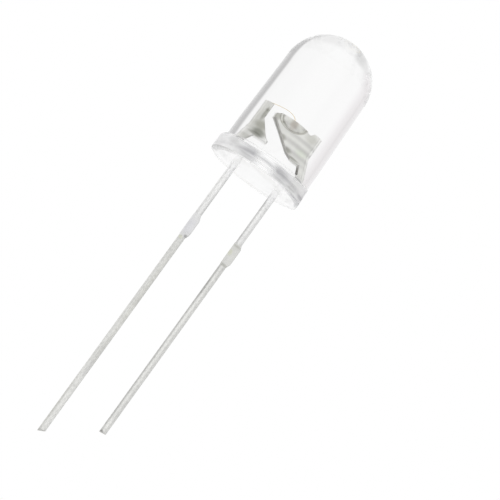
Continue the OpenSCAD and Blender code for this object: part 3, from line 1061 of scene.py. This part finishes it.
# Painted shade and reflections: where each patch is along X and Z and how far it reaches
# along each, in mm, and its colour. A fifth number, a share of the reach, makes it a ring
ANODE_SHADE_PATCHES = (
    ((-1.05, 2.40, 0.50, 1.60), "f0f0ee"),
    ((-0.84, 1.86, 0.38, 0.25), "b2b3ad"),
    ((-0.91, 1.70, 0.45, 0.14), "bcbcb7"),
    ((-0.90, 2.22, 0.40, 0.30), "d6d6d0"),
    ((-1.06, 2.82, 0.10, 0.55), "d0d0cc"),
    ((-1.06, 3.06, 0.10, 0.12), "d4d4d1"),
    ((-1.20, 1.35, 0.24, 0.50), "ececea"),
    ((-1.13, -4.55, 0.14, 0.12), "c8c8c8"),
    ((-1.33, -4.70, 0.16, 0.14), "f9faee"),
    ((-1.32, -4.00, 0.40, 0.62), "fafafd"),
    ((-1.20, -8.30, 0.16, 3.60), "f8f8f6"),
    ((-1.20, -11.6, 0.16, 1.60), "f2f2f1"),
    ((-1.22, -12.9, 0.14, 0.80), "f2f2f3"),
    ((-1.45, -15.2, 0.14, 2.40), "ebebe9"),
    ((-1.33, -16.72, 0.16, 0.12), "e6e6e6"),
)
CATHODE_SHADE_PATCHES = (
    ((-0.10, 2.31, 0.24, 0.22), "ccccc7"),
    ((0.30, 1.92, 0.26, 0.20), "c8c8c3"),
    ((0.60, 1.75, 0.42, 0.08), "cacac5"),
    ((-0.62, 3.06, 0.18, 0.28), "d0d0cc"),
    ((-0.36, 2.96, 0.10, 0.10), "e8e8e4"),
    ((0.02, 3.16, 0.20, 0.42), "e3ddd9"),
    ((0.02, 3.24, 0.52, 0.34), "f0f0ed"),
    ((0.80, 2.20, 0.34, 0.26), "f6faf4"),
    ((0.80, 3.12, 0.34, 0.36), "ebebe8"),
    ((-0.03, 3.28, 0.59, 0.54, 0.9), "d2d1cc"),
    ((1.16, -3.88, 0.16, 0.24), "f9faee"),
    ((1.27, -3.44, 0.32, 0.10), "ececea"),
    ((1.27, -4.61, 0.32, 0.12), "e2e2df"),
    ((1.04, -0.60, 0.15, 0.55), "dcdcdc"),
    ((1.14, -6.10, 0.10, 1.00), "e6e6e6"),
    ((1.18, -15.0, 0.14, 0.12), "bcbcbc"),
)
# Painted shade on the sheared edges by the cathode's neck, in the same form
SHEARED_SHADE_PATCHES = (
    ((1.04, 1.21, 0.26, 0.46), "b0b0ae"),
)


class LED_OT_lead_frames(bpy.types.Operator):
    """The two stampings: anode with its post, cathode with its anvil and cup"""
    bl_idname = "led.lead_frames"
    bl_label = "Lead frames"

    def execute(self, context):
        scene = context.scene
        frames, post, anvil, cup = scene.led_frame, scene.led_post, scene.led_anvil, scene.led_cup
        low_y, high_y = ANODE_LOW.y, ANODE_HIGH.y
        sheared = sheared_steel(SHEARED_SHADE_PATCHES)
        mirror = coined_silver()
        anode = stamping(self.anode(frames, post), low_y, high_y, frames.burr)
        lead_x = frames.pitch / 2
        post_finish = plated_steel(
            "plated_anode", frames, -lead_x, ANODE_TONES_AND_SHADING, ANODE_CROSS_SHADING, ANODE_CROSS_SHADING_SHARE,
            ANODE_SHADE_PATCHES)
        piece("anode_frame_plated", anode, [post_finish, sheared, mirror],
              "lead_frame", "anode_frame")
        sheet = stamping(self.cathode(frames, anvil, cup), low_y, high_y, frames.burr)
        shell, bowl = self.cup(cup)
        cathode = boolean(boolean(sheet, shell, "UNION"), bowl, "DIFFERENCE")
        anvil_finish = plated_steel(
            "plated_cathode", frames, lead_x, CATHODE_TONES_AND_SHADING, CATHODE_CROSS_SHADING,
            CATHODE_CROSS_SHADING_SHARE, CATHODE_SHADE_PATCHES)
        piece("cathode_frame_plated", cathode, [anvil_finish, sheared, mirror],
              "lead_frame", "cathode_frame")
        return {"FINISHED"}

    def nub(self, frames):
        """Heights of the lower and the upper end of a nub."""
        return -frames.nub_z - frames.nub_h / 2, -frames.nub_z + frames.nub_h / 2

    def edges(self, frames):
        """A lead's inner and outer edge, from the lens axis."""
        return (frames.pitch - frames.lead_w) / 2, (frames.pitch + frames.lead_w) / 2

    def lead_up(self, frames, x, foot):
        """Anode-side edge of a lead from its cropped end up to the top of the nub."""
        low, high = self.nub(frames)
        nick = frames.nub_ramp / 3
        out = x - frames.nub_back
        return border([(x, foot), (x, low), (out, low + nick), (out, high - nick), (x, high)],
                      frames.roll)

    def lead_down(self, frames, x, foot):
        """Cathode-side edge of a lead from the top of the nub down to its cropped end."""
        low, high = self.nub(frames)
        out = x + frames.nub_out
        side = border([(x, high), (out, high - frames.nub_ramp), (out, low + frames.nub_ramp),
                       (x, low)], frames.roll)
        return side + border([(x, foot)], frames.burr, SHEARED)

    def anode(self, frames, post):
        """Outline of the anode, clockwise from the cropped end of its lead."""
        inner, outer = self.edges(frames)
        post_in = post.outer - post.width
        toe_x = ANODE_HIGH.x
        toe_z = post.foot_z + post.toe_h
        return (
            self.lead_up(frames, -outer, ANODE_LOW.z)
            + border([
                (-outer, frames.neck_z - frames.neck_run),
                (-post.outer, post.knee_z - post.spread_drop),
            ], frames.pad_roll)
            + border([
                (-post.outer, ANODE_HIGH.z),
                (-post_in, ANODE_HIGH.z),
                (-post_in, post.knee_z),
                (toe_x - post.toe_run, toe_z + post.toe_rise),
            ], frames.roll)
            + border([
                (toe_x, toe_z),
                (toe_x, post.foot_z),
                (-inner + post.foot_run, post.foot_z),
                (-inner - post.neck_cut, frames.neck_z),
            ], frames.pad_roll)
            + border([(-inner, frames.neck_z - frames.neck_run)], frames.roll)
            + self.lead_down(frames, -inner, ANODE_LOW.z + frames.anode_slant)
        )

    def cathode(self, frames, anvil, cup):
        """Outline of the cathode's sheet, clockwise from the cropped end of its lead."""
        inner, outer = self.edges(frames)
        wing_x = CATHODE_LOW.x
        notch_z = cup.rim_z - anvil.notch_drop
        ear_in = anvil.outer - anvil.ear_w
        slant = math.atan2(anvil.shoulder_z - anvil.foot_z, anvil.heel_x - wing_x)
        return (
            self.lead_up(frames, inner, CATHODE_LOW.z)
            + border([(inner, frames.neck_z)], frames.neck_roll, SHEARED)
            + border([(inner - anvil.neck_lean, anvil.foot_z)], frames.pad_roll)
            + border([
                (anvil.heel_x + anvil.heel_cut / 2, anvil.foot_z),
                (anvil.heel_x - anvil.heel_cut * math.cos(slant),
                 anvil.foot_z + anvil.heel_cut * math.sin(slant)),
            ], frames.gap_roll, SHEARED)
            + border([
                (wing_x, anvil.shoulder_z),
                (wing_x, cup.rim_z - anvil.bevel_drop),
                (wing_x + anvil.bevel_run, notch_z),
                (CUP_X - cup.rim_r, cup.rim_z),
                (CUP_X + cup.rim_r, cup.rim_z),
                (CUP_X + cup.rim_r + anvil.notch_run, notch_z),
                (ear_in - anvil.ear_run, notch_z),
                (ear_in, CATHODE_HIGH.z),
                (anvil.outer, CATHODE_HIGH.z),
                (anvil.outer, anvil.hip_z),
                (outer, frames.neck_z),
            ], frames.roll)
            + self.lead_down(frames, outer, CATHODE_LOW.z + frames.cathode_slant)
        )

    def cup(self, cup):
        """Outside of the cup, and the bowl that is cut from it."""
        floor_z = GLUE_LOW.z
        floor_r = (GLUE_HIGH.x - GLUE_LOW.x) / 2 + cup.floor_gap
        mouth_r = cup.rim_r - cup.wall
        lip_z = cup.rim_z - cup.rim_lip
        above = 0.2 * MM
        keel = [
            (cup.rim_r * math.cos(a), lip_z - cup.bulge * math.sin(a))
            for a in (math.pi / 2 * (1 - i / 24) for i in range(1, 25))
        ]
        shell = lathe(
            [(0, lip_z - cup.bulge)] + keel
            + arc((cup.rim_r - cup.rim_round, cup.rim_z - cup.rim_round), cup.rim_round,
                  0, math.pi / 2, 4)
            + [(0, cup.rim_z)], 96, CUP_X)
        flare = (mouth_r - floor_r) / (cup.rim_z - floor_z)
        bowl = lathe([(0, floor_z), (floor_r, floor_z),
                      (mouth_r + flare * above, cup.rim_z + above),
                      (0, cup.rim_z + above)], 96, CUP_X, MIRROR)
        return shell, bowl


class LED_OT_die(bpy.types.Operator):
    """LED die with its bond pad, and the adhesive under it"""
    bl_idname = "led.die"
    bl_label = "Die and adhesive"

    def execute(self, context):
        sizes = context.scene.led_die
        sawn = die_chip(sizes, context.scene.led_colours)
        piece("led_die_chip", skin(self.chip(sizes)), [sawn], "die", "led_die")
        pad = [
            [(x, y, z) for x, y in self.pad_outline(sizes)]
            for z in (DIE_HIGH.z, DIE_HIGH.z + sizes.pad_t)
        ]
        piece("die_bond_pad", skin(pad), [gold("plated_gold", 0.3)], "die")
        piece("die_attach_fillet", self.adhesive(), [silver_paste()], "die_adhesive",
              "die_attach", sharp=60)
        return {"FINISHED"}

    def chip(self, sizes):
        """Square rings from the sawn lower part up to the etched mesa."""
        half = (DIE_HIGH.x - DIE_LOW.x) / 2
        low, top = DIE_LOW.z, DIE_HIGH.z
        step_z = low + sizes.saw_share * (top - low)
        mesa, lean = half - sizes.mesa_step, sizes.mesa_lean
        tread, bevel = 0.001 * MM, 0.002 * MM
        levels = [(half, low), (half, step_z), (mesa, step_z + tread),
                  (mesa - lean, top - bevel), (mesa - 2 * lean, top)]
        return [[(x, y, z) for x, y in self.square(reach, sizes.corner)]
                for reach, z in levels]

    def square(self, reach, corner):
        """A square round the cup's axis with rounded corners."""
        points = []
        for k in range(4):
            turn = math.pi / 2 * k
            middle = (CUP_X + (reach - corner) * math.sqrt(2) * math.cos(turn + math.pi / 4),
                      (reach - corner) * math.sqrt(2) * math.sin(turn + math.pi / 4))
            points += arc(middle, corner, turn, turn + math.pi / 2, 3)
        return points

    def pad_outline(self, sizes):
        """A round pad with four arms."""
        half = sizes.arm_w / 2
        root = math.asin(half / sizes.pad_r)
        points = []
        for k in range(4):
            turn = math.pi / 2 * k
            cos, sin = math.cos(turn), math.sin(turn)
            points += [(CUP_X + sizes.arm_end * cos + side * half * sin,
                        sizes.arm_end * sin - side * half * cos) for side in (1, -1)]
            points += arc((CUP_X, 0), sizes.pad_r, turn + root, turn + math.pi / 2 - root, 8)
        return points

    def adhesive(self):
        """A low mound that climbs a little way up the sides of the die."""
        foot = (GLUE_HIGH.x - GLUE_LOW.x) / 2
        low, height = GLUE_LOW.z, GLUE_HIGH.z - GLUE_LOW.z
        mound = [(foot * math.cos(a), low + height * math.sin(a))
                 for a in (math.pi / 2 * i / 10 for i in range(10))]
        return lathe([(0, low)] + mound + [(0, low + height)], 48, CUP_X)


# Height and half width of the rings of the ball, in radii of the ball
BALL = ((0, 0.8), (0.12, 0.93), (0.3, 1.0), (0.6, 1.0), (0.78, 0.92), (0.95, 0.7), (1.05, 0.5))


class LED_OT_wire(bpy.types.Operator):
    """Gold bond wire: ball, loop and stitch"""
    bl_idname = "led.wire"
    bl_label = "Bond wire"

    def execute(self, context):
        sizes = context.scene.led_wire
        rings = [self.ring(sizes, *row) for row in self.rows(sizes)]
        piece("gold_bond_wire", skin(rings), [gold("drawn_gold", 0.2)], "gold_wire",
              "bond_wire", sharp=50)
        return {"FINISHED"}

    def ring(self, sizes, x, z, turn, half_h, half_w):
        """Ring across the wire where it heads that way, with its own height and width."""
        points = []
        for i in range(sizes.sides):
            a = 2 * math.pi * (i + 0.5) / sizes.sides
            up, side = half_h * math.cos(a), half_w * math.sin(a)
            points.append((x - up * math.sin(turn), side, z + up * math.cos(turn)))
        return points

    def rows(self, sizes):
        """Place, heading, half height and half width of each ring from the die on."""
        r, ball = sizes.wire_r, sizes.ball_r
        low = WIRE_LOW.z
        post_z = ANODE_HIGH.z
        post_x = WIRE_LOW.x + sizes.stitch_run
        start = Vector((CUP_X, low + 1.2 * ball))
        up = Vector((CUP_X, post_z + sizes.loop_rise))
        down = Vector((post_x + 4 * sizes.stitch_run, post_z + r))
        end = Vector((post_x + sizes.stitch_run, post_z + r))
        rows = [(CUP_X, low + height * ball, math.pi / 2, width * ball, width * ball)
                for height, width in BALL]
        for i in range(sizes.steps + 1):
            t = i / sizes.steps
            p = ((1 - t) ** 3 * start + 3 * t * (1 - t) ** 2 * up
                 + 3 * t ** 2 * (1 - t) * down + t ** 3 * end)
            d = ((1 - t) ** 2 * (up - start) + 2 * t * (1 - t) * (down - up)
                 + t ** 2 * (end - down))
            rows.append((p.x, p.y, math.atan2(d.y, d.x), r, r))
        # The capillary presses the stitch flat and wide, and thinnest at its end
        for i in range(1, 7):
            share = i / 6
            half_h = r * (1 - share) + 0.16 * r * share
            half_w = r * (1 + 0.8 * math.sin(math.pi * share * 0.75))
            rows.append((post_x + sizes.stitch_run * (1 - 2 * share), post_z + half_h,
                         math.pi, half_h, half_w))
        return rows


class LED_PT_panel(bpy.types.Panel):
    """Lists what the LED is made of"""
    bl_label = "LED"
    bl_idname = "LED_PT_panel"
    bl_space_type = "VIEW_3D"
    bl_region_type = "UI"
    bl_category = "LED"

    def draw(self, context):
        for operator in OPERATORS:
            self.layout.operator(operator.bl_idname)


OPERATORS = (LED_OT_stage, LED_OT_lens, LED_OT_lead_frames, LED_OT_die, LED_OT_wire)
CLASSES = (*SETTINGS.values(), *OPERATORS, LED_PT_panel)


def register():
    for cls in CLASSES:
        bpy.utils.register_class(cls)
    for name, group in SETTINGS.items():
        setattr(bpy.types.Scene, name, PointerProperty(type=group))


def unregister():
    for name in SETTINGS:
        delattr(bpy.types.Scene, name)
    for cls in reversed(CLASSES):
        bpy.utils.unregister_class(cls)


def main():
    register()
    bpy.ops.led.stage()
    bpy.ops.led.lens()
    bpy.ops.led.lead_frames()
    bpy.ops.led.die()
    bpy.ops.led.wire()


if __name__ == "__main__":
    main()
